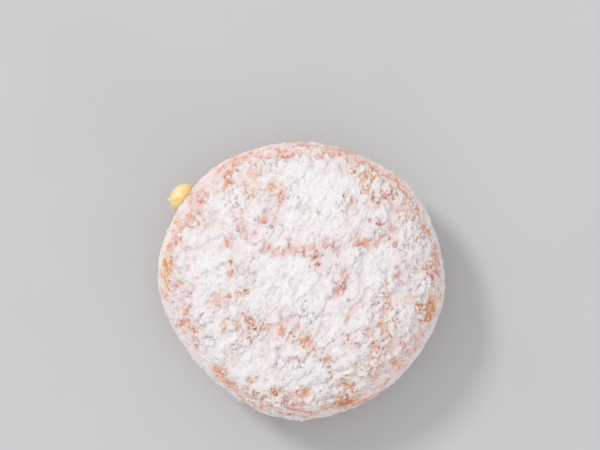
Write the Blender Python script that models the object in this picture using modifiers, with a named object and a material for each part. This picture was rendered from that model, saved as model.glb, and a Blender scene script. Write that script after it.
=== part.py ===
"""A cream-filled doughnut: a round fried body with one filling hole in its side, and the cream that fills it.

Metres, +Z up. The origin is the middle of the flat spot that the doughnut rests on, and the filling hole
faces -Y. The body is a turned profile, warped out of round. The cream is a second turned profile, whose
axis is the hole's: a domed nub outside, a neck through the side, and a flattened pocket inside. A slightly
larger copy of the cream cuts its place out of the body.
"""

import math

import bmesh
import bpy
from mathutils import Matrix, Vector

# Body
MEAN_RADIUS = 0.0453  # of the rounded side; the crease brings the widest mean circle to 45 mm
HEIGHT = 0.038
WAIST_HEIGHT = 0.0185
FULLNESS = 2.6  # exponent of the rounded side: 2 is an ellipse, more is squarer
REST_FLATTENING = 0.0006  # how much of the round underside is pressed away where it rests
CREASE_DEPTH = 0.0004  # the shallow crease round the waist, where the two fried sides meet
CREASE_HALF_HEIGHT = 0.0034
BODY_STEPS = 72
RINGS_ABOVE_WAIST = 15
RINGS_BELOW_WAIST = 13

# Out-of-round outline: (waves in one turn, height as a share of the radius, angle of a crest from +X)
OUTLINE_WAVES = (
    (2, 0.0175, math.radians(107)),
    (3, 0.0150, math.radians(36)),
    (4, 0.0080, math.radians(32)),
    (5, 0.0070, math.radians(25)),
    (7, 0.0035, math.radians(6)),
    (8, 0.0035, math.radians(28)),
)

# Gentle swells of the top: (direction of travel from +X, wavelength, height, phase)
TOP_SWELLS = (
    (math.radians(20), 0.047, 0.00045, 0.6),
    (math.radians(75), 0.038, 0.00035, 2.1),
    (math.radians(140), 0.031, 0.00030, 4.0),
)

# Filling hole, and the dimple that the nozzle leaves round it
HOLE_ANGLE = math.radians(-90)
DIMPLE_DEPTH = 0.0004
DIMPLE_RADIUS = 0.0070

# Cream, measured out along the hole's axis
NUB_RADIUS = 0.0048
NUB_LENGTH = 0.0050  # from the mouth of the hole to the top of the dome
NUB_SEAT = 0.0008  # the dome is widest this far out of the mouth
NUB_FULLNESS = 2.2
NECK_RADIUS = 0.0033
NECK_DEPTH = 0.0024  # the cream is down to its neck this far inside the mouth
POCKET_RADIUS = 0.0220
POCKET_HALF_HEIGHT = 0.0100
FLATTENING_LENGTH = 0.0090  # the pocket takes this much of the axis to flatten
CREAM_STEPS = 32
RINGS_ON_NUB = 8
RINGS_UNDER_NUB = 4
RINGS_ON_NECK = 4
RINGS_ON_POCKET = 14

# The small beak that the nozzle draws out of the nub as it leaves
BEAK_ANGLE = math.radians(40)  # from the hole's axis towards +X
BEAK_LENGTH = 0.0009
BEAK_SPREAD = math.radians(14)

GAP = 0.0003  # between the cream and the body
MERGE_DISTANCE = 1e-5
SHARP_ANGLE = math.radians(40)


def clear_scene():
    for obj in list(bpy.data.objects):
        bpy.data.objects.remove(obj, do_unlink=True)


def new_collection(name):
    collection = bpy.data.collections.new(name)
    bpy.context.scene.collection.children.link(collection)
    return collection


def new_material(name, color, roughness, subsurface=0.0):
    material = bpy.data.materials.new(name)
    material.use_nodes = True
    shader = material.node_tree.nodes["Principled BSDF"]
    shader.inputs["Base Color"].default_value = (*color, 1.0)
    shader.inputs["Roughness"].default_value = roughness
    shader.inputs["Metallic"].default_value = 0.0
    shader.inputs["Subsurface Weight"].default_value = subsurface
    material.diffuse_color = (*color, 1.0)
    return material


def smooth_step(share):
    """0 to 1 with level ends."""
    share = min(max(share, 0.0), 1.0)
    return share * share * (3 - 2 * share)


def superellipse(turn, half_width, half_height, fullness):
    """A point of |x/a|^n + |z/b|^n = 1, from its rim at turn 0 to its pole at a quarter turn."""
    across = max(math.cos(turn), 0.0) ** (2 / fullness)
    up = max(math.sin(turn), 0.0) ** (2 / fullness)
    return half_width * across, half_height * up


def outline_share(angle):
    """How far the outline stands off its mean circle at this angle, as a share of the radius."""
    return sum(share * math.cos(waves * (angle - crest)) for waves, share, crest in OUTLINE_WAVES)


def top_swell(x, y):
    """Height of the top's gentle swells: a sum of plane waves."""
    total = 0.0
    for direction, wavelength, height, phase in TOP_SWELLS:
        along = x * math.cos(direction) + y * math.sin(direction)
        total += height * math.sin(2 * math.pi * along / wavelength + phase)
    return total


def crease(height):
    """Depth of the waist's crease at this height."""
    return CREASE_DEPTH * math.exp(-(((height - WAIST_HEIGHT) / CREASE_HALF_HEIGHT) ** 2))


def hole_direction():
    return Vector((math.cos(HOLE_ANGLE), math.sin(HOLE_ANGLE), 0.0))


def mouth_distance():
    """Distance of the hole's mouth from the body's upright axis."""
    return MEAN_RADIUS * (1 + outline_share(HOLE_ANGLE)) - CREASE_DEPTH - DIMPLE_DEPTH


def body_profile():
    """(radius, height) down the body's outer side: crown, waist, underside, flat resting spot."""
    above = HEIGHT - WAIST_HEIGHT
    below = WAIST_HEIGHT + REST_FLATTENING
    rest_turn = math.asin((WAIST_HEIGHT / below) ** (FULLNESS / 2))
    points = [(0.0, HEIGHT)]
    for ring in range(1, RINGS_ABOVE_WAIST):
        turn = math.pi / 2 * (1 - ring / RINGS_ABOVE_WAIST)
        across, up = superellipse(turn, MEAN_RADIUS, above, FULLNESS)
        points.append((across - crease(WAIST_HEIGHT + up), WAIST_HEIGHT + up))
    for ring in range(RINGS_BELOW_WAIST):
        turn = rest_turn * ring / RINGS_BELOW_WAIST
        across, down = superellipse(turn, MEAN_RADIUS, below, FULLNESS)
        points.append((across - crease(WAIST_HEIGHT - down), WAIST_HEIGHT - down))
    rest_radius, _ = superellipse(rest_turn, MEAN_RADIUS, below, FULLNESS)
    points += [(rest_radius, 0.0), (rest_radius / 2, 0.0), (0.0, 0.0)]
    return points


def warp_body(point):
    """Stretch the round body to its outline, swell its top, and press in the dimple round the hole."""
    x, y, z = point
    spread = min(math.hypot(x, y) / MEAN_RADIUS, 1.0)
    stretch = 1 + outline_share(math.atan2(y, x)) * spread
    lift = max((z - WAIST_HEIGHT) / (HEIGHT - WAIST_HEIGHT), 0.0)
    moved = Vector((x * stretch, y * stretch, z + top_swell(x, y) * lift**2))
    mouth = hole_direction() * mouth_distance() + Vector((0.0, 0.0, WAIST_HEIGHT))
    nearness = math.exp(-(((moved - mouth).length / DIMPLE_RADIUS) ** 2))
    return moved - hole_direction() * DIMPLE_DEPTH * nearness


def cream_profile():
    """(radius, distance out along the hole's axis), from the nub's top to the pocket's far end."""
    mouth = mouth_distance()
    points = [(0.0, mouth + NUB_LENGTH)]
    for ring in range(1, RINGS_ON_NUB + 1):
        turn = math.pi / 2 * (1 - ring / RINGS_ON_NUB)
        across, out = superellipse(turn, NUB_RADIUS, NUB_LENGTH - NUB_SEAT, NUB_FULLNESS)
        points.append((across, mouth + NUB_SEAT + out))
    for ring in range(1, RINGS_UNDER_NUB + 1):
        share = ring / RINGS_UNDER_NUB
        across = NUB_RADIUS + (NECK_RADIUS - NUB_RADIUS) * smooth_step(share)
        points.append((across, mouth + NUB_SEAT - (NUB_SEAT + NECK_DEPTH) * share))
    neck_turn = math.asin(NECK_RADIUS / POCKET_RADIUS)
    neck_start = mouth - NECK_DEPTH
    neck_end = POCKET_RADIUS * math.cos(neck_turn)
    for ring in range(1, RINGS_ON_NECK):
        points.append((NECK_RADIUS, neck_start + (neck_end - neck_start) * ring / RINGS_ON_NECK))
    for ring in range(RINGS_ON_POCKET):
        turn = neck_turn + (math.pi - neck_turn) * ring / RINGS_ON_POCKET
        points.append((POCKET_RADIUS * math.sin(turn), POCKET_RADIUS * math.cos(turn)))
    points.append((0.0, -POCKET_RADIUS))
    return points


def warp_cream(point):
    """Flatten the pocket, draw the beak out of the nub, and lay the axis along the filling hole's."""
    flatness = POCKET_HALF_HEIGHT / POCKET_RADIUS
    inside = smooth_step((POCKET_RADIUS - point.z) / FLATTENING_LENGTH)
    shaped = Vector((point.x, point.y * (1 + (flatness - 1) * inside), point.z))
    from_seat = shaped - Vector((0.0, 0.0, mouth_distance() + NUB_SEAT))
    beak = Vector((math.sin(BEAK_ANGLE), 0.0, math.cos(BEAK_ANGLE)))
    if from_seat.z > 0.0:
        off_beak = from_seat.angle(beak)
        shaped += beak * BEAK_LENGTH * math.exp(-((off_beak / BEAK_SPREAD) ** 2))
    # The profile's Z is the hole's axis, its X stays level, and its Y stands up.
    lay = Matrix.Rotation(math.pi / 2, 3, "X")
    turn = Matrix.Rotation(HOLE_ANGLE + math.pi / 2, 3, "Z")
    return turn @ (lay @ shaped) + Vector((0.0, 0.0, WAIST_HEIGHT))


def turned_mesh(name, profile, steps, warp):
    """The profile turned about Z by a Screw modifier, made a plain mesh, and each vertex warped."""
    outline = bpy.data.meshes.new(name + "_profile")
    edges = [(index, index + 1) for index in range(len(profile) - 1)]
    outline.from_pydata([(across, 0.0, along) for across, along in profile], edges, [])
    guide = bpy.data.objects.new(name + "_profile", outline)
    bpy.context.scene.collection.objects.link(guide)
    screw = guide.modifiers.new("turn", "SCREW")
    screw.steps = steps
    screw.render_steps = steps
    screw.use_merge_vertices = True
    screw.merge_threshold = MERGE_DISTANCE
    bpy.context.view_layer.update()
    graph = bpy.context.evaluated_depsgraph_get()
    mesh = bpy.data.meshes.new_from_object(guide.evaluated_get(graph))
    mesh.name = name
    bpy.data.objects.remove(guide, do_unlink=True)
    bpy.data.meshes.remove(outline)
    for vertex in mesh.vertices:
        vertex.co = warp(vertex.co.copy())
    return mesh


def grow(mesh, distance):
    """Move every vertex out along its normal."""
    shape = bmesh.new()
    shape.from_mesh(mesh)
    shape.normal_update()
    for vertex in shape.verts:
        vertex.co += vertex.normal * distance
    shape.to_mesh(mesh)
    shape.free()


def add_piece(name, mesh, collection, material):
    mesh.shade_smooth()
    mesh.set_sharp_from_angle(angle=SHARP_ANGLE)
    mesh.materials.clear()
    mesh.materials.append(material)
    obj = bpy.data.objects.new(name, mesh)
    collection.objects.link(obj)
    return obj


def add_cutter(name, mesh, collection):
    cutter = bpy.data.objects.new(name, mesh)
    collection.objects.link(cutter)
    cutter.hide_render = True
    cutter.display_type = "WIRE"
    return cutter


def make_cream(collection):
    material = new_material("vanilla_cream", (0.86, 0.68, 0.36), 0.35, subsurface=0.2)
    mesh = turned_mesh("cream", cream_profile(), CREAM_STEPS, warp_cream)
    return add_piece("cream", mesh, collection, material)


def make_dough(collection, cutters):
    material = new_material("sugared_crust", (0.80, 0.71, 0.70), 0.9)
    mesh = turned_mesh("dough", body_profile(), BODY_STEPS, warp_body)
    dough = add_piece("dough", mesh, collection, material)
    room = turned_mesh("room_for_cream", cream_profile(), CREAM_STEPS, warp_cream)
    grow(room, GAP)
    cut = dough.modifiers.new("filling", "BOOLEAN")
    cut.operation = "DIFFERENCE"
    cut.solver = "EXACT"
    cut.object = add_cutter("room_for_cream", room, cutters)
    return dough


def main():
    clear_scene()
    pieces = new_collection("cream_filled_doughnut")
    cutters = new_collection("cutters")
    make_dough(pieces, cutters)
    make_cream(pieces)


main()
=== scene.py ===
"""The looks of a cream-filled doughnut: its fried crust, its uneven coat of fine sugar, and its nub of cream.

Metres, in the CAD's frame: the doughnut rests on z = 0, +Z is up and the filling hole faces -Y. The CAD's two
solids are replaced by finer surfaces on the same formulas. Relief is worked out in millimetres, because the
details are a few millimetres or less.
"""

import itertools
import math

import bpy
import numpy as np
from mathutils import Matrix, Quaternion, Vector


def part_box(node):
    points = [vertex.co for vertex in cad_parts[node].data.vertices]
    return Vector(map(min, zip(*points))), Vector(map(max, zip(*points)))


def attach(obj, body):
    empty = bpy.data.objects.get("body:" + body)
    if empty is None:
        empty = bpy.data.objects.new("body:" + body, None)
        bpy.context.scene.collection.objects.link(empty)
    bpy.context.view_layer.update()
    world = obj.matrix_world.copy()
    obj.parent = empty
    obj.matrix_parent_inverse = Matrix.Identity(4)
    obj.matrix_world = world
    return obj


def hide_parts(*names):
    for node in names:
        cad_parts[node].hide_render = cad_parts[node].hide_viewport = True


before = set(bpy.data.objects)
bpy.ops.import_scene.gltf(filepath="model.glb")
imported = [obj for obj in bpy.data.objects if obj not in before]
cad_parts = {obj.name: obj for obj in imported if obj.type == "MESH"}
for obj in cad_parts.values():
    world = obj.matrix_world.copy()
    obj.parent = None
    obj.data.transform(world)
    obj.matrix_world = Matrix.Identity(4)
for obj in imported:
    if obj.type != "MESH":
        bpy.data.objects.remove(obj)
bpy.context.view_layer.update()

DOUGH_LOW, DOUGH_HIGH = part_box("dough")
CREAM_LOW, CREAM_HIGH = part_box("cream")
MM = 0.001
FULL_TURN = 2 * math.pi


def bell(value):
    """1 at zero, falling off to both sides: exp(-value^2)."""
    return np.exp(-(value**2))


def soft_step(low, high, value):
    """0 below low, 1 above high, and a smooth cubic between."""
    share = np.clip((value - low) / (high - low), 0, 1)
    return share * share * (3 - 2 * share)


# -------------------- the doughnut's form, in millimetres

# Out-of-round outline: (waves in one turn, height as a share of the radius, angle of a crest from +X)
OUTLINE_WAVES = (
    (2, 0.0175, 107),
    (3, 0.0150, 36),
    (4, 0.0080, 32),
    (5, 0.0070, 25),
    (7, 0.0035, 6),
    (8, 0.0035, 28),
)
# Gentle swells of the top: (direction of travel from +X, wavelength, height, phase)
TOP_SWELLS = (
    (20, 47.0, 0.45, 0.6),
    (75, 38.0, 0.35, 2.1),
    (140, 31.0, 0.30, 4.0),
)
HOLE_ANGLE = math.radians(-90)
FULLNESS = 2.6
CROWN_HEIGHT = 38.0
REST_FLATTENING = 0.6
CREASE_DEPTH = 0.4
CREASE_HALF_HEIGHT = 3.4
DIMPLE_DEPTH = 0.4
DIMPLE_RADIUS = 7.0
PROFILE_POINTS = 600
WAIST = (CREAM_LOW.z + CREAM_HIGH.z) / 2 / MM


def outline_share(angle):
    """How far the outline stands off its mean circle, as a share of the radius: a sum of cosine waves."""
    total = np.zeros_like(angle)
    for waves, share, crest in OUTLINE_WAVES:
        total += share * np.cos(waves * (angle - math.radians(crest)))
    return total


def mean_radius():
    """The mean circle's radius: the CAD's width over a unit outline's, with the crease put back."""
    angle = np.linspace(0, FULL_TURN, 721)
    across = (1 + outline_share(angle)) * np.cos(angle)
    widest = (DOUGH_HIGH.x - DOUGH_LOW.x) / (across.max() - across.min()) / MM
    _, creased, _ = profile_curve(widest)
    return 2 * widest - creased.max()


def profile_curve(radius):
    """Share of the way down, radius and height, from the crown to the middle of the underside.

    Above the waist and below it this is a quarter of a superellipse, |x/a|^n + |z/b|^n = 1, less a shallow
    crease at the waist. The lower quarter is cut off flat at z = 0.
    """
    turn = np.linspace(0, math.pi / 2, PROFILE_POINTS)
    wide = np.cos(turn) ** (2 / FULLNESS)
    tall = np.sin(turn) ** (2 / FULLNESS)
    above = CROWN_HEIGHT - WAIST
    below = WAIST + REST_FLATTENING
    across = np.concatenate([wide[::-1], wide[1:]]) * radius
    height = np.concatenate([WAIST + above * tall[::-1], WAIST - below * tall[1:]])
    across[0] = across[-1] = 0.0
    height = np.maximum(height, 0.0)
    across = np.maximum(across - CREASE_DEPTH * bell((height - WAIST) / CREASE_HALF_HEIGHT), 0.0)
    length = np.append(0.0, np.cumsum(np.hypot(np.diff(across), np.diff(height))))
    return length / length[-1], across, height


RADIUS = mean_radius()
PROFILE = profile_curve(RADIUS)
MOUTH = RADIUS * (1 + float(outline_share(np.array(HOLE_ANGLE)))) - CREASE_DEPTH - DIMPLE_DEPTH
OUT = np.array([math.cos(HOLE_ANGLE), math.sin(HOLE_ANGLE), 0.0])


def form_point(angle, along):
    """Points of the doughnut's smooth form, at angles round it and shares of the way down its profile.

    The turned profile is stretched to the outline, more so further out, its top is raised by plane waves, and
    a dimple with a bell-shaped section is pressed in round the filling hole.
    """
    share, across, height = PROFILE
    r = np.interp(along, share, across)
    z = np.interp(along, share, height)
    stretched = r * (1 + outline_share(angle) * np.minimum(r / RADIUS, 1))
    x, y = stretched * np.cos(angle), stretched * np.sin(angle)
    lift = np.maximum((z - WAIST) / (CROWN_HEIGHT - WAIST), 0) ** 2
    for direction, wavelength, swell, phase in TOP_SWELLS:
        way = math.radians(direction)
        z = z + lift * swell * np.sin(
            FULL_TURN * (x * math.cos(way) + y * math.sin(way)) / wavelength + phase
        )
    point = np.stack([x, y, z], axis=-1)
    from_mouth = np.linalg.norm(point - (OUT * MOUTH + [0, 0, WAIST]), axis=-1)
    return point - OUT * (DIMPLE_DEPTH * bell(from_mouth / DIMPLE_RADIUS))[..., None]


def form_normal(angle, along):
    """Outward normals of the smooth form: the cross product of its two slopes, by central differences."""
    small = 1e-4
    down = form_point(angle, np.minimum(along + small, 1)) - form_point(angle, np.maximum(along - small, 0))
    around = form_point(angle + small, along) - form_point(angle - small, along)
    normal = np.cross(down, around)
    size = np.linalg.norm(normal, axis=-1, keepdims=True)
    straight = np.zeros_like(normal)
    straight[..., 2] = np.where(along < 0.5, 1.0, -1.0)
    return np.where(size > 1e-9, normal / np.maximum(size, 1e-12), straight)


# -------------------- noise

GRADIENTS = np.array([g for g in itertools.product((-1, 0, 1), repeat=3) if sum(map(abs, g)) == 2], float)
OCTAVE_SHIFT = 17.3  # keeps the corners of one octave off those of the next


def shuffled(seed):
    """The numbers from 0 to 255 in an order drawn from a seed, twice over."""
    return np.tile(np.random.default_rng(seed).permutation(256), 2)


def cell_hash(cells, table):
    """A number from 0 to 255 for each whole-numbered cell of space."""
    x, y, z = (cells[..., axis] & 255 for axis in range(3))
    return table[table[table[x] + y] + z]


def gradient_noise(points, seed):
    """Gradient noise, about -1 to 1: slopes drawn at whole-numbered corners, blended by a quintic fade."""
    table = shuffled(seed)
    base = np.floor(points).astype(np.int64)
    part = points - base
    fade = part**3 * (part * (part * 6 - 15) + 10)
    total = np.zeros(points.shape[:-1])
    for corner in itertools.product((0, 1), repeat=3):
        offset = np.array(corner)
        slope = GRADIENTS[cell_hash(base + offset, table) % len(GRADIENTS)]
        weight = np.prod(np.where(offset == 1, fade, 1 - fade), axis=-1)
        total += weight * np.sum(slope * (part - offset), axis=-1)
    return total


def rough_noise(points, height, size, octaves, seed, gain=0.5):
    """Gradient noise with waves of one size, and octaves at twice the fineness and a share of the height."""
    places = points / size
    total = np.zeros(points.shape[:-1])
    share = 1.0
    for octave in range(octaves):
        total += share * gradient_noise(places * 2**octave + octave * OCTAVE_SHIFT, seed + octave)
        share *= gain
    return height * total


def cell_noise(points, seed):
    """Distance to the nearest of one random point a cell, and that point's own number from 0 to 1."""
    table = shuffled(seed)
    places = np.random.default_rng(seed + 1).random((256, 3))
    numbers = np.random.default_rng(seed + 2).random(256)
    base = np.floor(points).astype(np.int64)
    nearest = np.full(points.shape[:-1], np.inf)
    number = np.zeros(points.shape[:-1])
    for corner in itertools.product((-1, 0, 1), repeat=3):
        cell = base + np.array(corner)
        drawn = cell_hash(cell, table)
        distance = np.linalg.norm(cell + places[drawn] - points, axis=-1)
        closer = distance < nearest
        nearest = np.where(closer, distance, nearest)
        number = np.where(closer, numbers[drawn], number)
    return nearest, number


# -------------------- grids over the form

CROWN_EDGE = 0.42  # share of the way down the profile where the crown's grid meets the side's
BASE_EDGE = 0.60  # and where the side's meets the base's
COARSE = 4  # one cell of a coat's hidden inner face for so many of its outer face


def disc_grid(cells):
    """A square grid laid on the unit disc: square rings become circles, with the angle even along each ring.

    Returns angle and distance from the middle of each point, the quads, and the rim's points in turn.
    """
    line = np.linspace(-1, 1, cells + 1)
    a, b = (side.ravel() for side in np.meshgrid(line, line, indexing="ij"))
    flat = np.abs(a) >= np.abs(b)
    main, other = np.where(flat, a, b), np.where(flat, b, a)
    lean = math.pi / 4 * other / np.where(np.abs(main) < 1e-9, 1, main)
    angle = np.where(flat, lean, math.pi / 2 - lean) + np.where(main < 0, math.pi, 0)
    index = np.arange((cells + 1) ** 2).reshape(cells + 1, cells + 1)
    quads = np.stack([index[:-1, :-1], index[1:, :-1], index[1:, 1:], index[:-1, 1:]], -1)
    rim = np.concatenate([index[:-1, 0], index[-1, :-1], index[:0:-1, -1], index[0, :0:-1]])
    return angle, np.abs(main), quads.reshape(-1, 4), rim


def cap_grid(cells, under):
    """A disc grid over the crown or, if under, the base, with quads that face outwards."""
    angle, far, quads, rim = disc_grid(cells)
    if under:
        return angle, 1 - far * (1 - BASE_EDGE), quads[:, ::-1], rim
    return angle, far * CROWN_EDGE, quads, rim


def side_alongs(rows):
    """Shares of the way down the profile at the edges of so many rows between crown and base."""
    return np.linspace(CROWN_EDGE, BASE_EDGE, rows + 1)


def ring_quads(index):
    """Quads between rows of points that each run round in a ring; they face outwards."""
    right = np.roll(index, -1, axis=1)
    return np.stack([index[1:], right[1:], right[:-1], index[:-1]], -1).reshape(-1, 4)


def band_grid(columns, alongs):
    """Rows of points round the form, one row for each share of the way down the profile."""
    rows = len(alongs)
    corner = -3 * math.pi / 4  # where disc_grid's rim starts
    angle = np.tile(corner + FULL_TURN * np.arange(columns) / columns, rows)
    along = np.repeat(alongs, columns)
    index = np.arange(rows * columns).reshape(rows, columns)
    return angle, along, ring_quads(index), index[0], index[-1]


def stitch(fine, coarse, flip):
    """Triangles that join a ring of points to one with fewer: a fan and a cap for each coarse side."""
    count = len(coarse)
    each = len(fine) // count
    near, far = coarse, np.roll(coarse, -1)
    first = np.arange(count) * each
    faces = [np.stack([near, far, fine[(first + each) % len(fine)]], -1)]
    for step in range(each):
        faces.append(np.stack([near, fine[(first + step + 1) % len(fine)], fine[first + step]], -1))
    faces = np.concatenate(faces)
    return faces[:, ::-1] if flip else faces


def sides_of(ring):
    """Each point of a ring paired with the next."""
    return np.stack([ring, np.roll(ring, -1)], -1)


def fan(ring, tip, flip):
    """Triangles from each side of a ring to one point."""
    sides = sides_of(ring)[:, ::-1] if flip else sides_of(ring)
    return np.hstack([sides, np.full((len(ring), 1), tip)])


def whole_grid(cells, rows):
    """One closed grid over the whole form: a crown disc, a side band and a base disc with shared rims."""
    crown_angle, crown_along, crown_quads, rim = cap_grid(cells, under=False)
    base_angle, base_along, base_quads, _ = cap_grid(cells, under=True)
    band_angle, band_along, band_quads, top, foot = band_grid(4 * cells, side_alongs(rows)[1:-1])
    base_start = len(crown_angle)
    band_start = 2 * base_start
    upper, lower = sides_of(rim), sides_of(rim) + base_start
    quads = np.concatenate(
        [
            crown_quads,
            base_quads + base_start,
            band_quads + band_start,
            np.hstack([sides_of(top) + band_start, upper[:, ::-1]]),
            np.hstack([lower, sides_of(foot)[:, ::-1] + band_start]),
        ]
    )
    angle = np.concatenate([crown_angle, base_angle, band_angle])
    along = np.concatenate([crown_along, base_along, band_along])
    return angle, along, quads


# -------------------- crust and sugar, in millimetres

COAT_ON_TOP = 0.75  # mean thickness of the sugar on the crown
COAT_ON_SIDE = 0.40  # and on the side and the underside
SIDE_SINKING = 0.42  # the side's crust lies so much deeper, which leaves room for the sugar's bumps
PEAK = 0.80  # relief never rises over this
PEAK_SOFTNESS = 0.16  # how gently it is pressed down there
FILM_SOFTNESS = 0.13  # how gently the hollows flatten out to the film that is left in them
SMEAR = np.array([1.0, 0.05, 0.0])  # the coat was wiped along this direction
SMEAR_SHORTENING = 0.35

# Shares of the way out to the edge over which the top turns into the side
WEAR_TURN = (0.80, 0.95)  # for the mean thinness
NOISE_TURN = (0.82, 0.93)  # for noises that run round the side
RELIEF_TURN = (0.84, 0.96)  # for the coat's relief
CRUST_TURN = (0.86, 0.98)  # for the crust's depth

# Heights over which the underside turns into the top
PATCH_RISE = (WAIST - 3, WAIST + 1)  # for the worn patches
WEAR_RISE = (WAIST - 5, WAIST + 1)  # for the mean thinness
RELIEF_RISE = (WAIST - 7, WAIST + 1)  # for the coat's relief
COAT_RISE = (WAIST + 4, WAIST + 13)  # for the mean thickness

# Noises: (height, wavelength, octaves, seed, each octave's height as a share of the last, 0.5 if not given)
WOBBLE_X = (0.9, 2.4, 3, 41)
WOBBLE_Y = (0.9, 2.4, 3, 47)
TINT = (0.85, 3.4, 3, 211)
DASH_LINES = (1.0, 1.4, 2, 125)
DASH_STRETCHES = (1.0, 1.3, 1, 127)
FLECKS = (1.0, 2.6, 3, 85, 0.45)
FLECK_CLOUDS = (1.0, 5.4, 3, 81)
STREAKS = (0.12, 2.6, 3, 121)
THREADS = (1.0, 1.5, 1, 151)
SPECKLE = (1.0, 0.75, 2, 101)
BUSY_CLOUDS = (1.0, 7.0, 2, 191)
NICK_LINES = (1.0, 2.3, 1, 161)
NICK_WAVER = (0.4, 1.0, 1, 162)
NICK_STRETCHES = (1.0, 2.0, 1, 165)
PLATES = (1.9, 5.5, 3, 131)
SMALL_PLATES = (2.2, 2.3, 2, 171, 0.45)
SWELLS = (0.62, 3.0, 2, 137, 0.45)
CLUMPS = (0.95, 2.5, 3, 141, 0.6)
CRUMBS = (0.40, 0.6, 1, 143)
PITS = (1.0, 1.1, 1, 111)
RIPPLES = (0.16, 1.1, 2, 181)
GRAINS = (1.0, 1.5, 3, 221, 0.6)
TORN_SUGAR = (0.8, 0.95, 3, 101)
TORN_CRUST = (0.35, 1.3, 2, 131)
WRINKLES = (0.10, 3.2, 4, 11)
BROWNING = (0.35, 9.0, 2, 201)

# Heights and depths of the coat's relief
PLATE_STEP = 0.56
SMALL_PLATE_STEP = 0.58
PIT_DEPTH = 0.55
DASH_DEPTH = 0.32

# Widths of lines along a noise's zeros, as its distance from zero
DASH_WIDTH = 0.16
THREAD_WIDTH = 0.13
NICK_WIDTH = 0.11

# What thins the coat, from 0, white, to 1, bare
UNDERSIDE_THINNESS = 0.28
FLECK_THINNESS = 0.155
DASH_THINNESS = 0.40
PATCH_THINNESS = 0.34

# The crust's blisters, and the torn lip of its filling hole
BLISTER_CELL = 2.2
BLISTER_RADIUS = 0.45  # in cells
BLISTER_HEIGHT = 0.12
HOLE_RADII = (3.2, 4.5)  # of its floor and its mouth
HOLE_DEPTH = 3.2
LIP_RADIUS = 5.3
LIP_HEIGHT = 0.35

# How thin the coat is on average, from 0, thick and white, to 1, none, at shares of the way out to the edge
RIM_PLACES = (0.0, 0.70, 0.80, 0.86, 0.91, 0.945, 0.975, 1.0)
RIM_THINNESS = (0.03, 0.03, 0.05, 0.115, 0.18, 0.195, 0.165, 0.085)

# How much of that the rim shows at bearings round it: two stretches kept their coat, and the rise to 1.1
# about 95 degrees, on the side away from the key light, is painted shade
RIM_WEAR_AND_SHADE = (
    (0, 1.0), (30, 0.9), (58, 1.0), (72, 1.0), (95, 1.1), (110, 1.0), (200, 1.0), (250, 1.0), (304, 0.9),
    (322, 0.6), (345, 0.45), (360, 1.0),
)
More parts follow.
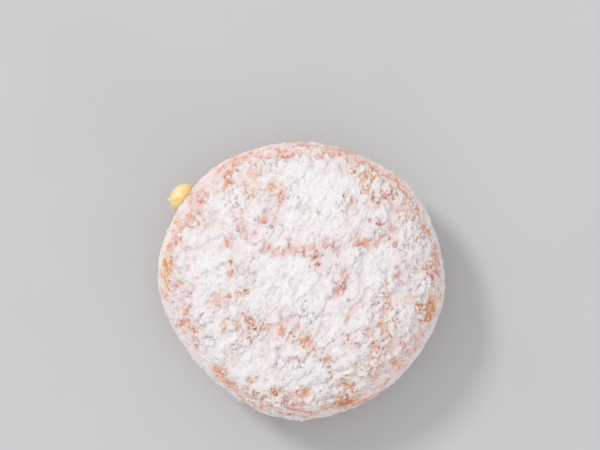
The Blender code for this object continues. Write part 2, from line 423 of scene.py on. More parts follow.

# Worn patches, and last a broad faint wash of painted shade on the side away from the key light: (angle from
# +X, share of the radius, half length, half width, lie of the long side, wear, colour), with the colour from
# 0, rosy, to 1, golden
BARE_AND_SHADED_PATCHES = (
    # across the middle
    (270, 0.43, 1.5, 1.0, 80, 0.9, 0.1),
    (269, 0.33, 2.8, 0.9, 85, 0.7, 0.1),
    (265, 0.24, 2.2, 1.1, 110, 1.0, 0.1),
    (245, 0.19, 2.2, 1.1, 130, 0.9, 0.1),
    (205, 0.16, 3.0, 1.4, 115, 1.3, 0.2),
    (175, 0.15, 1.8, 1.0, 90, 0.9, 0.1),
    (172, 0.26, 2.0, 1.2, 80, 1.0, 0.1),
    (160, 0.27, 1.8, 1.3, 60, 0.7, 0.0),
    (137, 0.24, 1.4, 0.8, 125, 0.8, 0.6),
    (117, 0.28, 3.6, 1.2, 25, 1.1, 0.1),
    (142, 0.13, 2.4, 1.3, 110, 0.8, 0.1),
    # upper left
    (263, 0.56, 2.9, 1.0, 50, 0.9, 0.3),
    (279, 0.54, 1.6, 0.9, 60, 0.8, 0.1),
    (229, 0.55, 2.6, 1.0, 20, 0.9, 0.2),
    (232, 0.64, 1.2, 0.9, 35, 0.7, 0.9),
    (245, 0.43, 1.6, 1.0, 110, 0.9, 0.1),
    (243, 0.51, 1.5, 0.9, 35, 0.6, 0.1),
    (237, 0.79, 1.8, 1.0, 75, 0.7, 0.4),
    (252, 0.85, 1.8, 1.0, 35, 0.8, 0.3),
    (223, 0.87, 1.8, 0.8, 125, 0.8, 0.2),
    (279, 0.87, 3.2, 1.2, 170, 0.8, 0.3),
    (265, 0.88, 1.6, 0.9, 35, 0.7, 0.2),
    (289, 0.86, 1.6, 1.0, 35, 0.5, 0.4),
    (229, 0.86, 2.6, 1.0, 125, 0.6, 0.3),
    # left and lower left
    (297, 0.50, 1.6, 0.8, 20, 0.8, 0.4),
    (293, 0.40, 2.5, 0.9, 60, 0.6, 0.0),
    (303, 0.37, 1.8, 1.1, 130, 0.8, 0.0),
    (308, 0.88, 2.0, 1.0, 10, 0.5, 0.4),
    (323, 0.86, 2.0, 0.7, 0, 0.9, 0.4),
    (333, 0.84, 1.8, 0.9, 20, 0.9, 0.1),
    (321, 0.51, 2.6, 0.9, 140, 1.1, 0.6),
    (321, 0.61, 1.6, 1.0, 0, 1.0, 0.0),
    (339, 0.61, 1.8, 1.2, 130, 1.0, 0.7),
    (343, 0.48, 1.8, 1.2, 60, 1.0, 0.3),
    (355, 0.50, 3.2, 1.3, 155, 1.0, 0.6),
    (350, 0.58, 1.2, 0.9, 0, 0.6, 0.0),
    (7, 0.30, 2.0, 1.2, 80, 0.8, 0.0),
    (14, 0.39, 2.2, 0.9, 15, 1.1, 0.0),
    (30, 0.35, 1.8, 0.8, 125, 0.8, 0.1),
    (34, 0.45, 2.8, 1.3, 90, 1.3, 0.8),
    (29, 0.59, 1.6, 0.5, 125, 0.8, 0.0),
    (8, 0.80, 1.4, 0.7, 150, 1.0, 0.7),
    # right and upper right
    (153, 0.46, 2.0, 0.9, 105, 1.4, 0.4),
    (149, 0.54, 1.8, 0.9, 100, 0.9, 0.3),
    (144, 0.66, 2.0, 0.8, 100, 0.9, 0.4),
    (124, 0.67, 1.8, 1.0, 35, 1.1, 0.2),
    (104, 0.54, 1.0, 0.8, 0, 1.0, 0.0),
    (110, 0.60, 1.6, 0.8, 50, 0.8, 0.2),
    (103, 0.62, 1.8, 0.7, 30, 0.8, 0.4),
    (157, 0.64, 1.5, 0.7, 130, 0.8, 0.1),
    (152, 0.74, 2.0, 1.2, 150, 0.7, 0.2),
    (157, 0.79, 1.6, 0.7, 35, 1.0, 0.1),
    (168, 0.74, 2.3, 1.5, 160, 0.8, 0.4),
    (165, 0.84, 1.2, 1.0, 125, 0.5, 0.6),
    (176, 0.73, 1.6, 0.8, 40, 0.8, 0.3),
    (183, 0.62, 1.8, 0.9, 115, 0.7, 0.6),
    (163, 0.58, 1.3, 0.6, 95, 0.7, 0.2),
    (180, 0.83, 1.8, 1.4, 0, 0.8, 1.0),
    (189, 0.79, 1.5, 1.0, 125, 0.9, 0.8),
    # lower right
    (82, 0.73, 3.6, 1.9, 0, 1.1, 0.7),
    (83, 0.62, 1.6, 1.0, 80, 0.9, 0.1),
    (71, 0.58, 2.6, 1.1, 85, 0.8, 0.1),
    (71, 0.83, 1.6, 1.1, 0, 0.8, 0.3),
    (97, 0.72, 1.8, 1.1, 60, 0.7, 0.5),
    (54, 0.62, 1.3, 1.0, 125, 0.9, 0.1),
    (57, 0.82, 1.5, 1.2, 0, 0.8, 0.7),
    (34, 0.80, 1.8, 1.1, 125, 0.6, 0.4),
    (21, 0.82, 1.5, 1.0, 125, 0.9, 0.7),
    # along the rim
    (53, 0.945, 1.5, 0.6, 140, 4.2, 0.6),
    (50, 0.92, 3.6, 0.7, 145, 0.7, 0.6),
    (58, 0.975, 6.0, 0.5, 148, 1.1, 0.5),
    (36, 0.95, 2.8, 0.8, 125, 0.7, 0.4),
    (18, 0.95, 2.6, 0.8, 110, 1.1, 0.5),
    (7, 0.94, 3.0, 0.6, 95, 0.7, 0.2),
    (357, 0.885, 2.6, 1.2, 85, 1.3, 0.4),
    (302, 0.95, 2.9, 0.8, 30, 1.2, 1.0),
    (243, 0.94, 3.2, 0.9, 145, 1.1, 0.6),
    (214, 0.94, 2.2, 0.8, 125, 0.8, 0.3),
    (200, 0.93, 3.6, 0.9, 115, 0.9, 0.6),
    (199, 0.90, 2.4, 0.9, 125, 0.7, 0.4),
    (187, 0.91, 2.0, 1.0, 105, 0.8, 0.6),
    (169, 0.95, 2.4, 0.9, 85, 0.9, 0.6),
    (154, 0.92, 2.0, 0.8, 60, 0.5, 0.4),
    (145, 0.93, 2.2, 0.7, 50, 0.4, 0.5),
    (134, 0.96, 2.6, 0.5, 35, 0.8, 0.4),
    (125, 0.90, 1.9, 0.8, 35, 0.8, 0.5),
    (110, 0.93, 1.7, 0.9, 25, 2.6, 0.8),
    (106, 0.86, 2.0, 0.9, 60, 0.7, 0.4),
    (82, 0.90, 1.6, 0.9, 105, 1.2, 0.6),
    # Painted shade, not wear: a broad faint rosy wash on the side away from the key light
    (92, 0.91, 5.0, 2.0, 125, 0.35, 0.0),
)

# Stretches of the top with more flecks, or fewer if the change is negative: (angle from +X, share of the
# radius, reach, change)
FLECKED_AREAS = (
    (158, 0.80, 9, -0.10),
    (126, 0.88, 6, 0.15),
    (180, 0.78, 10, 0.10),
    (241, 0.85, 8, 0.25),
    (268, 0.87, 8, 0.15),
    (308, 0.86, 8, 0.30),
    (100, 0.75, 8, 0.30),
    (65, 0.73, 9, 0.25),
    (28, 0.85, 9, 0.25),
    (342, 0.56, 8, 0.20),
    (241, 0.54, 6, 0.25),
    (84, 0.93, 8, -0.40),
    (97, 0.93, 6, -0.30),
    (72, 0.93, 6, -0.30),
    (297, 0.67, 7, -0.50),
    (206, 0.60, 9, -0.60),
    (327, 0.16, 9, -0.70),
    (134, 0.42, 6, -0.50),
    (345, 0.82, 8, -0.50),
    (11, 0.67, 8, -0.40),
    (60, 0.36, 6, -0.40),
    (217, 0.34, 6, -0.40),
)


def edge_share(points):
    """Distance from the upright axis, as a share of the outline's distance on that bearing."""
    outline = RADIUS * (1 + outline_share(np.arctan2(points[..., 1], points[..., 0])))
    return np.hypot(points[..., 0], points[..., 1]) / outline


def plan_offsets(x, y, bearing, share):
    """How far x and y stand off the spot at a bearing and a share of the radius."""
    way = math.radians(bearing)
    return x - RADIUS * share * math.cos(way), y - RADIUS * share * math.sin(way)


def spot_sum(points, spots):
    """Broad bell-shaped spots, added up, each as high as its last number."""
    total = np.zeros(points.shape[:-1])
    for bearing, share, reach, height in spots:
        dx, dy = plan_offsets(points[..., 0], points[..., 1], bearing, share)
        total += height * np.exp(-(dx**2 + dy**2) / reach**2)
    return total


def worn_and_shaded_patches(points):
    """How far the coat is thinned in the patches, most of them worn and the last painted shade, and their
    colour, from 0, rosy, to 1, golden.

    Patches are bell-shaped spots with long and short sides, wobbled by noise. The colour is the mean of the
    patches' own, weighted by their bells, on a cloudy ground.
    """
    x = points[..., 0] + rough_noise(points, *WOBBLE_X)
    y = points[..., 1] + rough_noise(points, *WOBBLE_Y)
    total = np.zeros(points.shape[:-1])
    weight = np.full(points.shape[:-1], 0.15)
    colors = weight * np.clip(0.45 + rough_noise(points, *TINT), 0, 1)
    for bearing, share, length, width, lie, wear, color in BARE_AND_SHADED_PATCHES:
        dx, dy = plan_offsets(x, y, bearing, share)
        way = math.radians(lie)
        forward = (dx * math.cos(way) + dy * math.sin(way)) / length
        aside = (dy * math.cos(way) - dx * math.sin(way)) / width
        worn = wear * np.exp(-(forward**2 + aside**2) / 3.0)
        total = np.maximum(total, worn)
        weight += worn
        colors += worn * color
    return total * soft_step(*PATCH_RISE, points[..., 2]), colors / weight


def around_side(points, stretch):
    """Points for a noise that runs round the doughnut: turned distances shortened, the way down kept.

    The bearing goes on a small circle, and the third number is the rise over the waist plus, on the same side
    of it, the way in from the edge.
    """
    bearing = np.arctan2(points[..., 1], points[..., 0])
    rise = points[..., 2] - WAIST
    way_in = np.sign(rise) * np.maximum(1 - edge_share(points), 0) * RADIUS
    small = RADIUS / stretch
    return np.stack([small * np.cos(bearing), small * np.sin(bearing), rise + way_in], -1)


def ringed_noise(points, *noise):
    """Rough noise that is even on top and, towards the edge, drawn out round the doughnut."""
    on_top = rough_noise(points, *noise)
    on_side = rough_noise(around_side(points, 3.0), *noise)
    return on_top + soft_step(*NOISE_TURN, edge_share(points)) * (on_side - on_top)


def rough_share(thinness):
    """0 where the coat is thick and calm, 1 where it is thin and rough."""
    return soft_step(0.08, 0.30, thinness)


def dashes(points):
    """Short thin lines that run round the side: one noise's zero lines, where a second noise is high."""
    lines = rough_noise(around_side(points, 4.0), *DASH_LINES)
    kept = rough_noise(around_side(points, 2.0), *DASH_STRETCHES)
    return bell(lines / DASH_WIDTH) * soft_step(0.05, 0.30, kept)


def coat_thinness(points):
    """0 where the sugar is thick and white, up to 1 where the crust is bare.

    The mean grows towards the edge, by the rim's wear on that bearing, and is raised as painted shade on the
    side away from the key light. Worn patches add to it, among them a broad wash of painted shade, and so do
    flecks, where a broad noise rises over a threshold, and streaks and dashes that run round the side. White
    threads run through them along the zeros of another noise. Stretches with few flecks stay calm. It is
    given first smooth, and then broken up by speckle.
    """
    upper = soft_step(*WEAR_RISE, points[..., 2])
    edge = edge_share(points)
    side = soft_step(*WEAR_TURN, edge)
    bearing = np.degrees(np.arctan2(points[..., 1], points[..., 0])) % 360
    rim_wear_and_shade = np.interp(bearing, *zip(*RIM_WEAR_AND_SHADE))
    mean = np.interp(edge, RIM_PLACES, RIM_THINNESS) * (1 - side * (1 - rim_wear_and_shade))
    mean = mean * upper + UNDERSIDE_THINNESS * (1 - upper)
    change = spot_sum(points, FLECKED_AREAS)
    calm = 1 - soft_step(0.0, 0.8, -change)
    noise = ringed_noise(points, *FLECKS)
    clouds = rough_noise(points, *FLECK_CLOUDS) + 0.30 * noise + 0.7 * change
    flecks = FLECK_THINNESS * soft_step(-0.25, 0.75, clouds)
    streaks = side * rough_noise(around_side(points, 4.0), *STREAKS)
    streaks += side * (DASH_THINNESS * dashes(points) - 0.03)
    wear = np.maximum(worn_and_shaded_patches(points)[0] * (1 + 0.8 * noise) - 0.08, 0)
    worn = (PATCH_THINNESS + 0.02 * side) * (1 - np.exp(-1.3 * wear))
    worn += 0.14 * np.maximum(wear - 1.5, 0)
    threads = bell(ringed_noise(points, *THREADS) / THREAD_WIDTH)
    thinness = np.maximum(mean + streaks * calm + 0.06 * change, 0)
    thinness += (flecks + worn) * (1 - 0.32 * threads)
    thin = soft_step(0.06, 0.34, thinness)
    fine = (0.02 + 0.12 * thin) * calm * rough_noise(points, *SPECKLE)
    return np.clip(thinness, 0, 1), np.clip(thinness + fine, 0, 1.2)


def busy_share(points):
    """0.38 where the coat is calm and up to 1.08 where it is broken up: cloudy, and more where flecks are."""
    clouds = rough_noise(points, *BUSY_CLOUDS) + 0.8 * spot_sum(points, FLECKED_AREAS)
    return 0.38 + 0.70 * soft_step(-0.32, 0.40, clouds)


def terraces(values):
    """Whole-numbered steps of a smooth value, with short steep risers between them."""
    level = np.floor(values)
    return level + soft_step(0.36, 0.64, values - level)


def gouges(points, thinness):
    """Short crisp nicks, from 0 to 1: stretches of one noise's zero lines, where a second noise is high.

    There are more of them where the coat is thin.
    """
    lines = rough_noise(points, *NICK_LINES) + rough_noise(points, *NICK_WAVER)
    kept = rough_noise(points, *NICK_STRETCHES) + 0.35 * soft_step(0.05, 0.35, thinness)
    return bell(lines / NICK_WIDTH) * soft_step(0.08, 0.30, kept)


def coat_relief(points, thinness):
    """Height of the sugar over its mean surface: calm plates where it is thick, rough clumps where thin.

    Plates are a stepped noise on gentle swells. Clumps are the absolute value of a noise with waves of
    several sizes, which gives round tops with sharp creases between. Pits are where a fine noise is over a
    threshold. A soft minimum presses the peaks down to one height. The side and the underside keep less of
    it, and have ripples and sunk dashes that run round.
    """
    rough = rough_share(thinness)
    busy = busy_share(points)
    stretched = points - SMEAR_SHORTENING * (points @ SMEAR)[..., None] * SMEAR
    plates = PLATE_STEP * terraces(rough_noise(stretched, *PLATES))
    plates += SMALL_PLATE_STEP * busy * terraces(rough_noise(points, *SMALL_PLATES)) + 0.2
    clumps = np.abs(rough_noise(points, *CLUMPS)) - 0.30
    pits = PIT_DEPTH * soft_step(0.22, 0.45, rough_noise(points, *PITS))
    crumbs = busy * (1 + 1.2 * rough) * rough_noise(points, *CRUMBS)
    nicks = (0.85 * busy + 0.35 * rough) * gouges(points, thinness)
    relief = plates + rough_noise(stretched, *SWELLS) + 1.35 * rough * (clumps - pits) + crumbs - nicks
    relief = PEAK - PEAK_SOFTNESS * np.logaddexp(0, (PEAK - relief) / PEAK_SOFTNESS)
    under = 1 - soft_step(*RELIEF_RISE, points[..., 2])
    side = np.maximum(soft_step(*RELIEF_TURN, edge_share(points)), under)
    ripples = rough_noise(around_side(points, 6.0), *RIPPLES)
    return relief + side * (ripples - DASH_DEPTH * dashes(points) - 0.58 * relief)


def hole_distance(points):
    """Distance from the filling hole's axis, and how far out along it."""
    side = points - np.array([0, 0, WAIST])
    out = side @ OUT
    return np.linalg.norm(side - out[..., None] * OUT, axis=-1), out


def coat_mean(points):
    """The coat's mean thickness: thick on the crown, less down the side and underneath."""
    return COAT_ON_SIDE + (COAT_ON_TOP - COAT_ON_SIDE) * soft_step(*COAT_RISE, points[..., 2])


def coat_depth(points):
    """Thickness of the sugar over the crust, which shows where it is below zero, and the coat's thinness.

    The relief stands on the mean, less its thinness. A soft maximum flattens the hollows out to a grainy
    film, which is gone where the crust is bare and round the filling hole. Valleys and nicks are thinner.
    """
    smooth, thinness = coat_thinness(points)
    relief = coat_relief(points, smooth)
    mean = coat_mean(points)
    depth = mean * (1.15 - 1.1 * smooth) + relief * (mean / COAT_ON_TOP) ** 0.5
    rough = rough_share(smooth)
    grains = rough * np.abs(rough_noise(points, *GRAINS))
    film = 0.05 + 0.7 * grains - 0.5 * soft_step(0.84, 1.0, thinness)
    depth = film + FILM_SOFTNESS * np.logaddexp(0, (depth - film) / FILM_SOFTNESS)
    around, out = hole_distance(points)
    torn = around + rough_noise(points, *TORN_SUGAR)
    near_hole = (out > RADIUS / 2) * (1 - soft_step(4.4, 5.8, torn))
    valleys = np.clip(-relief / PEAK, 0, 1)
    nicked = (0.13 * busy_share(points) + 0.16 * rough) * gouges(points, smooth)
    uneven = rough * (0.05 - 0.13 * relief) - 0.21 * grains
    return depth - 1.2 * near_hole, thinness + 0.12 * valleys + uneven + nicked + 0.6 * near_hole


def crust_relief(points):
    """Fine wrinkles and blisters of the fried skin."""
    nearest, number = cell_noise(points / BLISTER_CELL, 21)
    blisters = BLISTER_HEIGHT * np.clip(1 - nearest / BLISTER_RADIUS, 0, 1) ** 2 * (number > 0.55)
    return rough_noise(points, *WRINKLES) + blisters


def browning_of(points):
    """How brown the crust is fried: cloudy, and pale round the waist, which floats clear of the oil."""
    waist = bell((points[..., 2] - WAIST) / 3.6)
    return np.clip(0.55 + rough_noise(points, *BROWNING) - 0.75 * waist, 0, 1)


def shades(points, thinness):
    """The named numbers that the finishes read; warmth says if dusted crust looks rosy, 0, or golden, 1."""
    warmth = np.clip(worn_and_shaded_patches(points)[1], 0, 1)
    return {"thinness": thinness, "browning": browning_of(points), "warmth": warmth}


def crust_surface(angle, along):
    """The crust's points and normals: the form, sunk by the coat's mean thickness, with relief and hole."""
    smooth, normal = form_point(angle, along), form_normal(angle, along)
    sinking = coat_mean(smooth) + SIDE_SINKING * soft_step(*CRUST_TURN, edge_share(smooth))
    points = smooth + normal * (crust_relief(smooth) - sinking)[..., None]
    around, out = hole_distance(smooth)
    torn = rough_noise(smooth, *TORN_CRUST)
    lip = LIP_HEIGHT * bell((around - LIP_RADIUS + torn) / 0.9)
    sunk = HOLE_DEPTH * (1 - soft_step(*HOLE_RADII, around + torn))
    points = points + OUT * ((out > RADIUS / 2) * (lip - sunk))[..., None]
    return points, normal, smooth


# -------------------- finishes


def add_node(tree, kind, inputs=(), **settings):
    """A shader node with its settings, and each input linked to an output or set to a number or a colour."""
    made = tree.nodes.new(kind)
    for name, value in settings.items():
        setattr(made, name, value)
    for name, value in dict(inputs).items():
        if isinstance(value, bpy.types.NodeSocket):
            tree.links.new(value, made.inputs[name])
        else:
            made.inputs[name].default_value = (*value, 1.0) if isinstance(value, tuple) else value
    return made


def new_finish(name, roughness, specular, **constants):
    """A material with a Principled BSDF whose plain numbers are set on the shader itself."""
    finish = bpy.data.materials.new(name)
    finish.use_nodes = True
    shader = finish.node_tree.nodes["Principled BSDF"]
    shader.inputs["Roughness"].default_value = roughness
    shader.inputs["Specular IOR Level"].default_value = specular
    for socket, value in constants.items():
        shader.inputs[socket.replace("_", " ")].default_value = value
    return finish, finish.node_tree, shader


def noise_at(tree, scale, detail):
    """Blender's noise on Object coordinates; scale counts waves a metre."""
    place = add_node(tree, "ShaderNodeTexCoord").outputs["Object"]
    inputs = {"Vector": place, "Scale": scale, "Detail": detail}
    return add_node(tree, "ShaderNodeTexNoise", inputs).outputs["Fac"]


def value_of(tree, name):
    return add_node(tree, "ShaderNodeAttribute", attribute_name=name).outputs["Fac"]


def sum_of(tree, first, second, factor=1.0):
    """first + second * factor."""
    inputs = {0: second, 1: factor, 2: first}
    return add_node(tree, "ShaderNodeMath", inputs, operation="MULTIPLY_ADD").outputs[0]


def mottled(tree, name, noise, height):
    """A piece's named number, with a noise about its middle added to it."""
    return sum_of(tree, value_of(tree, name), sum_of(tree, noise, 1.0, -0.5), height)


def ramp_between(tree, value, low, high):
    """0 at low and 1 at high, with smooth ends."""
    inputs = {"Value": value, "From Min": low, "From Max": high}
    made = add_node(tree, "ShaderNodeMapRange", inputs, interpolation_type="SMOOTHSTEP")
    return made.outputs["Result"]


def mix_colors(tree, factor, first, second):
    """The first colour where the factor is 0, the second where it is 1."""
    inputs = {0: factor, 6: first, 7: second}
    return add_node(tree, "ShaderNodeMix", inputs, data_type="RGBA").outputs[2]


def add_bump(tree, shader, height, strength, distance):
    inputs = {"Height": height, "Strength": strength, "Distance": distance}
    bump = add_node(tree, "ShaderNodeBump", inputs)
    tree.links.new(bump.outputs["Normal"], shader.inputs["Normal"])


PALE_GOLD = (0.84, 0.66, 0.47)
TAN = (0.60, 0.32, 0.19)
BROWN = (0.38, 0.145, 0.06)


def crust_color(tree):
    """Fried crust by its browning, from pale gold through tan to brown, with a fine mottle."""
    tone = mottled(tree, "browning", noise_at(tree, 420, 3.0), 0.7)
    fried = mix_colors(tree, ramp_between(tree, tone, 0.0, 0.45), PALE_GOLD, TAN)
    return mix_colors(tree, ramp_between(tree, tone, 0.40, 0.95), fried, BROWN)


# Sugar's colour as it thins over rosy crust and over golden crust: (thinness, colour)
ROSY_SUGAR = (
    (0.00, (0.91, 0.884, 0.887)),
    (0.10, (0.895, 0.815, 0.838)),
    (0.25, (0.88, 0.712, 0.716)),
    (0.50, (0.84, 0.54, 0.49)),
    (0.75, (0.74, 0.39, 0.30)),
)
GOLDEN_SUGAR = (
    (0.00, (0.91, 0.885, 0.885)),
    (0.10, (0.895, 0.850, 0.815)),
    (0.25, (0.885, 0.765, 0.675)),
    (0.50, (0.85, 0.55, 0.39)),
    (0.75, (0.75, 0.35, 0.18)),
)


def color_ramp(tree, value, stops):
    """A colour read off a row of (place, colour) stops."""
    ramp = add_node(tree, "ShaderNodeValToRGB", {"Fac": value})
    made = ramp.color_ramp.elements
    while len(made) < len(stops):
        made.new(0.5)
    for stop, (place, color) in zip(made, stops):
        stop.position = place
        stop.color = (*color, 1.0)
    return ramp.outputs["Color"]


def dusted_color(tree, thinness):
    """Sugar by its thinness: white, then rosy or golden where crust glows through, then the crust itself."""
    rosy = color_ramp(tree, thinness, ROSY_SUGAR)
    golden = color_ramp(tree, thinness, GOLDEN_SUGAR)
    dusted = mix_colors(tree, value_of(tree, "warmth"), rosy, golden)
    return mix_colors(tree, ramp_between(tree, thinness, 0.75, 1.05), dusted, crust_color(tree))


def sugar_finish():
    """Matt white sugar that the crust tints where it is thin, with a fine grain."""
    finish, tree, shader = new_finish("fine_sugar", 0.95, 0.12)
    grain = noise_at(tree, 2200, 2.0)
    thinness = mottled(tree, "thinness", grain, 0.12)
    tree.links.new(dusted_color(tree, thinness), shader.inputs["Base Color"])
    add_bump(tree, shader, grain, 0.9, 0.00035)
    return finish


def crust_finish():
    """Fried crust under a dusting of sugar that comes and goes."""
    finish, tree, shader = new_finish("fried_crust", 0.62, 0.3)
    freckle = noise_at(tree, 1500, 3.0)
    thinness = mottled(tree, "thinness", freckle, 0.5)
    tree.links.new(dusted_color(tree, thinness), shader.inputs["Base Color"])
    add_bump(tree, shader, freckle, 0.3, 0.0003)
    return finish


def cream_finish():
    """Smooth pale yellow custard that lets some light in, painted deeper orange as shade where it meets the
    dough.
    """
    depth = {"Subsurface_Weight": 0.6, "Subsurface_Scale": 0.003, "Subsurface_Radius": (1.0, 0.7, 0.3)}
    finish, tree, shader = new_finish("pastry_cream", 0.36, 0.4, **depth)
    cloud = noise_at(tree, 260, 2.0)
    lip_shade = value_of(tree, "shade_near_dough")
    pale = mix_colors(tree, ramp_between(tree, cloud, 0.3, 0.7), (0.86, 0.72, 0.40), (0.88, 0.78, 0.48))
    # Painted shade: deeper orange where the cream goes in under the dough's lip
    color = mix_colors(tree, lip_shade, pale, (0.90, 0.62, 0.19))
    tree.links.new(color, shader.inputs["Base Color"])
    add_bump(tree, shader, noise_at(tree, 900, 2.0), 0.12, 0.0002)
    return finish


# -------------------- pieces

SHARP_ANGLE = math.radians(80)


def add_object(name, content):
    """A new object in the scene, from its mesh, lamp or camera."""
    made = bpy.data.objects.new(name, content)
    bpy.context.scene.collection.objects.link(made)
    return made


def add_piece(name, points, faces, finish, attributes=()):
    """A mesh piece from points in millimetres and lists of faces, with named numbers at its points."""
    mesh = bpy.data.meshes.new(name)
    listed = [face for group in faces for face in group.tolist()]
    mesh.from_pydata((points * MM).tolist(), [], listed)
    mesh.update()
    for label, values in dict(attributes).items():
        layer = mesh.attributes.new(label, "FLOAT", "POINT")
        layer.data.foreach_set("value", np.asarray(values, np.float32))
    mesh.shade_smooth()
    mesh.set_sharp_from_angle(angle=SHARP_ANGLE)
    mesh.materials.append(finish)
    piece = add_object(name, mesh)
    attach(piece, "root")
    return piece


CRUST_CELLS = 152
CRUST_ROWS = 60
COAT_CELLS = 304
BASE_CELLS = 152
SIDE_ROWS = 77
INNER_SIDE_ROWS = 8
INNER_DEPTH = 1.0  # the coat's hidden inner face lies this far inside the crust
DEEPEST_COAT = -0.45  # where the crust is bare, the coat's outer face lies no further inside it
CRUST_CLEARANCE = 0.25  # the crust stays so far above the coat's flat resting face


def make_crust(finish):
    """The whole crust, in the place of the CAD's dough."""
    angle, along, quads = whole_grid(CRUST_CELLS, CRUST_ROWS)
    points, _, smooth = crust_surface(angle, along)
    points[:, 2] = np.maximum(points[:, 2], CRUST_CLEARANCE)
    values = shades(smooth, np.minimum(coat_thinness(smooth)[1], 1))
    crust = add_piece("crust", points, [quads], finish, values)
    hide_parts("dough")


def coat_face(angle, along):
    """The coat's outer face: the crust's points moved out by the sugar's thickness, and flat underneath."""
    points, normal, smooth = crust_surface(angle, along)
    depth, thinness = coat_depth(smooth)
    outer = points + normal * np.maximum(depth, DEEPEST_COAT)[:, None]
    outer[:, 2] = np.maximum(outer[:, 2], 0.0)
    return outer, normal, shades(smooth, thinness)


def make_coat(name, outer_grid, inner_grid, flips, finish):
    """A closed piece of coat: its fine outer face, and a coarse inner one hidden inside the crust.

    Their rims are joined; flips says which joins face the other way. The inner face gets the values of sugar
    that is gone.
    """
    angle, along, quads, *rims = outer_grid
    inner_angle, inner_along, inner_quads, *inner_rims = inner_grid
    outer, normal, values = coat_face(angle, along)
    smooth = form_point(inner_angle, inner_along)
    depth = coat_mean(smooth) + INNER_DEPTH
    inner = smooth - form_normal(inner_angle, inner_along) * depth[:, None]
    start = len(outer)
    faces = [quads, inner_quads[:, ::-1] + start]
    for rim, inner_rim, flip in zip(rims, inner_rims, flips):
        faces.append(stitch(rim, inner_rim + start, flip))
    filled = {label: np.append(value, np.ones(len(inner))) for label, value in values.items()}
    add_piece(name, np.concatenate([outer, inner]), faces, finish, filled)
    return outer, normal, values["thinness"]


def make_cap(name, cells, finish, under):
    grids = cap_grid(cells, under), cap_grid(cells // COARSE, under)
    return make_coat(name, *grids, [under], finish)


def make_side(finish):
    columns = 4 * COAT_CELLS
    outer_grid = band_grid(columns, side_alongs(SIDE_ROWS))
    inner_grid = band_grid(columns // COARSE, side_alongs(INNER_SIDE_ROWS))
    return make_coat("sugar_side", outer_grid, inner_grid, [True, False], finish)


LUMP_COUNT = 1500
LUMP_SIDES = 6
LUMP_RINGS = 3
LUMP_RADIUS = 0.26  # of the middle one
LUMP_SPREAD = 0.35
SMALLEST_LUMP = 0.14
LARGEST_LUMP = 0.6
LUMP_SINKING = 0.25  # share of its radius
LOWEST_LUMP = 3.0
LUMPED_THINNESS = 0.3  # lumps sit where the coat is thicker than this


def lump_shape():
    """A small ball of rings and two poles: points of unit length, and its triangles."""
    rise = np.linspace(-math.pi / 2, math.pi / 2, LUMP_RINGS + 2)[1:-1]
    turn = FULL_TURN * np.arange(LUMP_SIDES) / LUMP_SIDES
    rise, turn = (grid.ravel() for grid in np.meshgrid(rise, turn, indexing="ij"))
    ring = np.stack([np.cos(rise) * np.cos(turn), np.cos(rise) * np.sin(turn), np.sin(rise)], -1)
    points = np.concatenate([ring, [[0, 0, -1], [0, 0, 1]]])
    index = np.arange(LUMP_RINGS * LUMP_SIDES).reshape(LUMP_RINGS, LUMP_SIDES)
    right = np.roll(index, -1, axis=1)
    faces = [
        np.stack([index[:-1], right[:-1], right[1:]], -1).reshape(-1, 3),
        np.stack([index[:-1], right[1:], index[1:]], -1).reshape(-1, 3),
        fan(index[0], len(ring), flip=True),
        fan(index[-1], len(ring) + 1, flip=False),
    ]
    return points, np.concatenate(faces)


def make_lumps(faces_of_coat, finish):
    """Small caked lumps on the coat: knobbly balls, each stretched, turned and sunk where it sits."""
    draw = np.random.default_rng(7)
    outer, normal, thinness = (np.concatenate(part) for part in zip(*faces_of_coat))
    thick = (thinness < LUMPED_THINNESS) & (outer[:, 2] > LOWEST_LUMP)
    seats = draw.choice(np.flatnonzero(thick), LUMP_COUNT, replace=False)
    ball, triangles = lump_shape()
    size = draw.lognormal(math.log(LUMP_RADIUS), LUMP_SPREAD, LUMP_COUNT)
    size = np.clip(size, SMALLEST_LUMP, LARGEST_LUMP)
    stretch = draw.uniform(0.65, 1.25, (LUMP_COUNT, 1, 3))
    knobs = draw.uniform(0.78, 1.18, (LUMP_COUNT, len(ball), 1))
    spins = draw.normal(size=(LUMP_COUNT, 4))
    turns = np.array([Quaternion(spin).normalized().to_matrix().transposed() for spin in spins])
    shapes = (ball * stretch * knobs) @ turns * size[:, None, None]
    centres = outer[seats] - normal[seats] * (LUMP_SINKING * size)[:, None]
    points = (shapes + centres[:, None]).reshape(-1, 3)
    faces = (triangles + len(ball) * np.arange(LUMP_COUNT)[:, None, None]).reshape(-1, 3)
    values = {label: np.zeros(len(points)) for label in ("thinness", "browning", "warmth")}
    add_piece("sugar_lumps", points, [faces], finish, values)


# -------------------- cream

NUB_RADIUS = 4.8
NUB_LENGTH = 5.0
NUB_SEAT = 0.8
NUB_FULLNESS = 2.2
NECK_RADIUS = 3.3
NECK_DEPTH = 2.4
POCKET_RADIUS = 22.0
POCKET_HALF_HEIGHT = 10.0
FLATTENING_LENGTH = 9.0
BEAK_ANGLE = math.radians(40)
BEAK_PULLS = ((0.85, 6.5), (0.20, 20))  # its tip's and its root's: (how far, spread in degrees)
FOLD_DEPTH = 0.32
FOLD_PLACE = 1.1
FOLD_HALF_WIDTH = 0.6
NUB_SWELL = (0.14, 3.0, 2, 301)  # as for the coat's noises
NUB_SAG = 0.25
CREAM_COLUMNS = 96


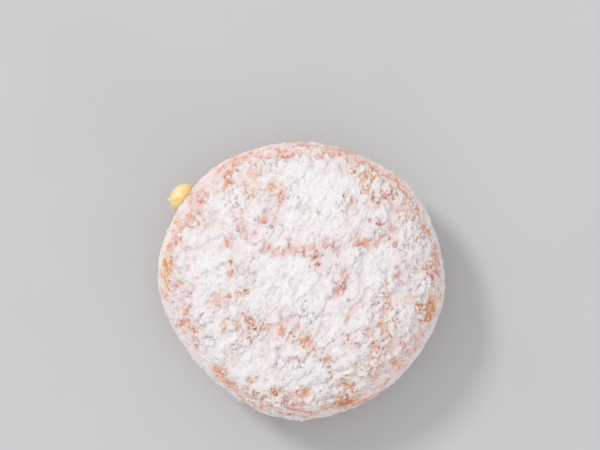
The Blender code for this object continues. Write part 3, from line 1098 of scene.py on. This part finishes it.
def cream_profile():
    """Radius and distance out along the hole's axis: a superellipse dome, a neck, and a round pocket."""
    turn = np.linspace(math.pi / 2, 0, 42)[1:]
    dome = (
        NUB_RADIUS * np.cos(turn) ** (2 / NUB_FULLNESS),
        MOUTH + NUB_SEAT + (NUB_LENGTH - NUB_SEAT) * np.sin(turn) ** (2 / NUB_FULLNESS),
    )
    share = np.linspace(0, 1, 12)[1:]
    throat = (
        NUB_RADIUS + (NECK_RADIUS - NUB_RADIUS) * soft_step(0, 1, share),
        MOUTH + NUB_SEAT - (NUB_SEAT + NECK_DEPTH) * share,
    )
    neck_turn = math.asin(NECK_RADIUS / POCKET_RADIUS)
    run = np.linspace(MOUTH - NECK_DEPTH, POCKET_RADIUS * math.cos(neck_turn), 8)[1:-1]
    turn = np.linspace(neck_turn, math.pi, 30)[:-1]
    pocket = (POCKET_RADIUS * np.sin(turn), POCKET_RADIUS * np.cos(turn))
    return np.hstack([dome, throat, (np.full_like(run, NECK_RADIUS), run), pocket])


def make_cream(finish):
    """The profile turned about the hole's axis, with a flattened pocket and a dome drawn out into a beak.

    The beak is the sum of two bells about its direction, and a groove with a bell-shaped section runs beside
    it. Both fade out where the nub goes into the dough.
    """
    radius, out = cream_profile()
    rows = len(radius)
    turn = FULL_TURN * np.arange(CREAM_COLUMNS) / CREAM_COLUMNS
    level = np.append(np.outer(radius, np.cos(turn)), [0, 0])
    upright = np.append(np.outer(radius, np.sin(turn)), [0, 0])
    out = np.append(np.repeat(out, CREAM_COLUMNS), [MOUTH + NUB_LENGTH, -POCKET_RADIUS])
    inside = soft_step(0, 1, (POCKET_RADIUS - out) / FLATTENING_LENGTH)
    upright *= 1 + (POCKET_HALF_HEIGHT / POCKET_RADIUS - 1) * inside

    from_seat = np.stack([level, upright, out - MOUTH - NUB_SEAT], -1)
    shown = soft_step(-0.6, 1.0, from_seat[:, 2])
    reach = np.maximum(np.linalg.norm(from_seat, axis=1, keepdims=True), 1e-6)
    beak = np.array([math.sin(BEAK_ANGLE), 0.0, math.cos(BEAK_ANGLE)])
    off_beak = np.degrees(np.arccos(np.clip(from_seat / reach @ beak, -1, 1)))
    drawn = sum(pull * bell(off_beak / spread) for pull, spread in BEAK_PULLS)
    across_fold = from_seat[:, 0] * math.cos(BEAK_ANGLE) - from_seat[:, 2] * math.sin(BEAK_ANGLE)
    groove = FOLD_DEPTH * bell((across_fold - FOLD_PLACE) / FOLD_HALF_WIDTH)
    groove *= soft_step(0, 2.5, from_seat[:, 0])
    swell = rough_noise(from_seat, *NUB_SWELL)
    moved = from_seat + (shown * drawn)[:, None] * beak
    moved += (from_seat / reach) * (shown * (swell - groove))[:, None]
    moved[:, 1] -= NUB_SAG * shown

    turned = HOLE_ANGLE + math.pi / 2
    side = np.array([math.cos(turned), math.sin(turned), 0])
    points = moved[:, :1] * side + moved[:, 1:2] * [0, 0, 1] + (moved[:, 2:] + MOUTH + NUB_SEAT) * OUT
    points[:, 2] += WAIST

    index = np.arange(rows * CREAM_COLUMNS).reshape(rows, CREAM_COLUMNS)
    faces = [
        ring_quads(index),
        fan(index[0], index.size, flip=False),
        fan(index[-1], index.size + 1, flip=True),
    ]
    # Painted shade: 1 where the nub goes in under the dough's lip, fading to 0 further out
    shade_near_dough = 1 - soft_step(-0.4, 2.6, from_seat[:, 2] - 0.12 * from_seat[:, 0])
    cream = add_piece("cream_filling", points, faces, finish, {"shade_near_dough": shade_near_dough})
    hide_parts("cream")


# -------------------- floor, light and camera

VIEW_AZIMUTH = 124
VIEW_ELEVATION = 85
LENS = 100
SENSOR = 36
FRAME_WIDTH = 0.1929  # what the camera takes in at the height of the waist
AIM_RIGHT = -0.0007  # the aim stands off the doughnut's middle, which puts it low in the frame
AIM_UP = 0.0170
FLOOR_HALF = 3.0
WARM_WHITE = (1.0, 0.985, 0.965)
COOL_WHITE = (0.97, 0.98, 1.0)


def view_axes(azimuth, elevation):
    """Unit vectors towards the camera, to its right and up its picture."""
    a, e = math.radians(azimuth), math.radians(elevation)
    back = Vector((math.sin(a) * math.cos(e), -math.cos(a) * math.cos(e), math.sin(e)))
    right = Vector((math.cos(a), math.sin(a), 0.0))
    return back, right, back.cross(right)


def make_camera():
    back, right, up = view_axes(VIEW_AZIMUTH, VIEW_ELEVATION)
    camera = add_object("camera", bpy.data.cameras.new("camera"))
    camera.data.lens = LENS
    camera.data.sensor_width = SENSOR
    target = Vector((0, 0, WAIST * MM)) + right * AIM_RIGHT + up * AIM_UP
    camera.location = target + back * (FRAME_WIDTH * LENS / SENSOR)
    camera.rotation_euler = back.to_track_quat("Z", "Y").to_euler()
    bpy.context.scene.camera = camera


def make_light(name, azimuth, elevation, distance, size, power, color):
    """A square soft box that faces the doughnut."""
    back, _, _ = view_axes(azimuth, elevation)
    lamp = bpy.data.lights.new(name, "AREA")
    lamp.size = size
    lamp.energy = power
    lamp.color = color
    light = add_object(name, lamp)
    light.location = back * distance
    light.rotation_euler = back.to_track_quat("Z", "Y").to_euler()


def make_studio():
    world = bpy.data.worlds.new("studio")
    bpy.context.scene.world = world
    world.use_nodes = True
    backdrop = world.node_tree.nodes["Background"]
    backdrop.inputs["Color"].default_value = (*COOL_WHITE, 1.0)
    backdrop.inputs["Strength"].default_value = 0.745
    # The key light comes from the picture's upper left, and a low wide fill from across it.
    make_light("key", VIEW_AZIMUTH - 130, 48, 2.0, 0.40, 15.0, WARM_WHITE)
    make_light("fill", VIEW_AZIMUTH + 45, 20, 2.0, 1.4, 5.0, COOL_WHITE)
    finish, tree, shader = new_finish("pale_table", 0.7, 0.2)
    tone = ramp_between(tree, noise_at(tree, 14, 3.0), 0.3, 0.7)
    color = mix_colors(tree, tone, (0.57, 0.57, 0.58), (0.59, 0.59, 0.595))
    tree.links.new(color, shader.inputs["Base Color"])
    mesh = bpy.data.meshes.new("floor")
    corners = [(x * FLOOR_HALF, y * FLOOR_HALF, 0) for x, y in ((-1, -1), (1, -1), (1, 1), (-1, 1))]
    mesh.from_pydata(corners, [], [(0, 1, 2, 3)])
    mesh.materials.append(finish)
    floor = add_object("floor", mesh)
    bpy.context.scene.view_settings.view_transform = "Standard"


make_camera()
make_studio()
SUGAR = sugar_finish()
make_crust(crust_finish())
CROWN = make_cap("sugar_crown", COAT_CELLS, SUGAR, under=False)
SIDE = make_side(SUGAR)
make_cap("sugar_base", BASE_CELLS, SUGAR, under=True)
make_lumps([CROWN, SIDE], SUGAR)
make_cream(cream_finish())
